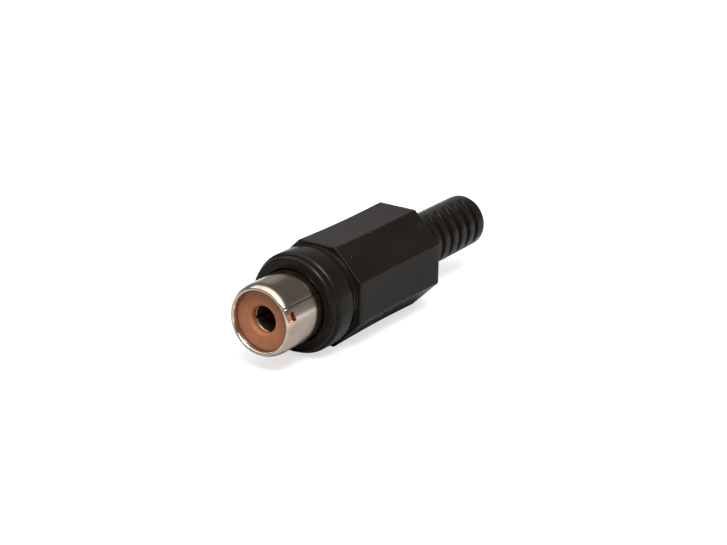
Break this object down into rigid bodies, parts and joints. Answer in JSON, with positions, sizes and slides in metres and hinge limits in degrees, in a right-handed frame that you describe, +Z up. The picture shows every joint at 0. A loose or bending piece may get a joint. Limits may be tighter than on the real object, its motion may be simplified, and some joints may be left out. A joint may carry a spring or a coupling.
{
  "type": "in-line phono socket",
  "caption": "In-line RCA socket for a cable: octagonal plastic barrel with a ribbed strain relief, screw-in front collar, plated ground sleeve and insulated pin contact.",
  "frame": {"origin": "centre of the bounding box on the ground plane, under the octagonal barrel's lower flat", "axes": "+Y along the socket's axis from the mouth to the cable tail, +Z up, the mouth faces -Y"},
  "size_m": [0.0128, 0.0462, 0.0128],
  "materials": {
    "black_plastic": "satin moulded black",
    "nickel_plate": "nickel plated sheet",
    "brown_insulator": "matt orange-brown board",
    "tin_plate": "tin plated"
  },
  "bodies": {
    "housing": {"barrel": "black_plastic"},
    "insert": {"ground_sleeve": "nickel_plate", "front_wafer": "brown_insulator", "centre_contact": "tin_plate", "rear_wafer": "brown_insulator", "ground_tag": "tin_plate"},
    "collar": {"front_collar": "black_plastic"}
  },
  "joints": [
    {"name": "insert_slide", "type": "slide", "parent": "housing", "child": "insert", "axis": [0, -1, 0], "range_m": [0, 0.005]},
    {"name": "collar_turn", "type": "hinge", "parent": "insert", "child": "collar", "pos_m": [0, -0.01649, 0.0064], "axis": [0, -1, 0], "range_deg": [0, 1800]}
  ],
  "couplings": [
    {"joint": "collar_turn", "follows": "insert_slide", "rad_per_m": 6283.2}
  ]
}
